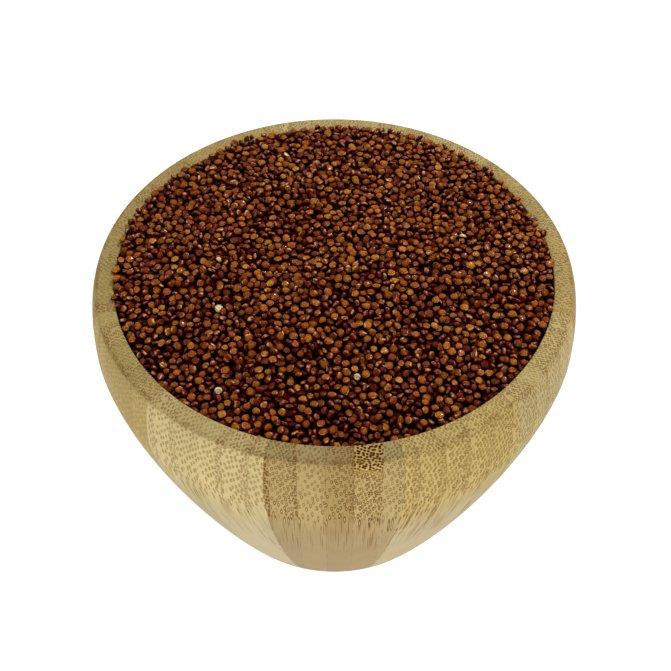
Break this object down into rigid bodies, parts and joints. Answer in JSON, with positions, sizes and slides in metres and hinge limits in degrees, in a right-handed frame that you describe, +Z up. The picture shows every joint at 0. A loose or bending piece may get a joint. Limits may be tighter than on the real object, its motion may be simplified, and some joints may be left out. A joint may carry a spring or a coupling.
{
  "type": "bowl of quinoa",
  "caption": "Round turned bamboo bowl with a flat rim, a rounded shoulder and a small flat foot, heaped with small round red quinoa seeds.",
  "frame": {"origin": "centre of the bowl's flat foot, on the surface that it stands on", "axes": "+Z up along the bowl's axis of turning"},
  "size_m": [0.12, 0.12, 0.0908],
  "materials": {
    "bamboo": "satin",
    "red_seed": "satin"
  },
  "bodies": {
    "root": {"bowl": "bamboo", "quinoa": "red_seed"}
  },
  "joints": []
}
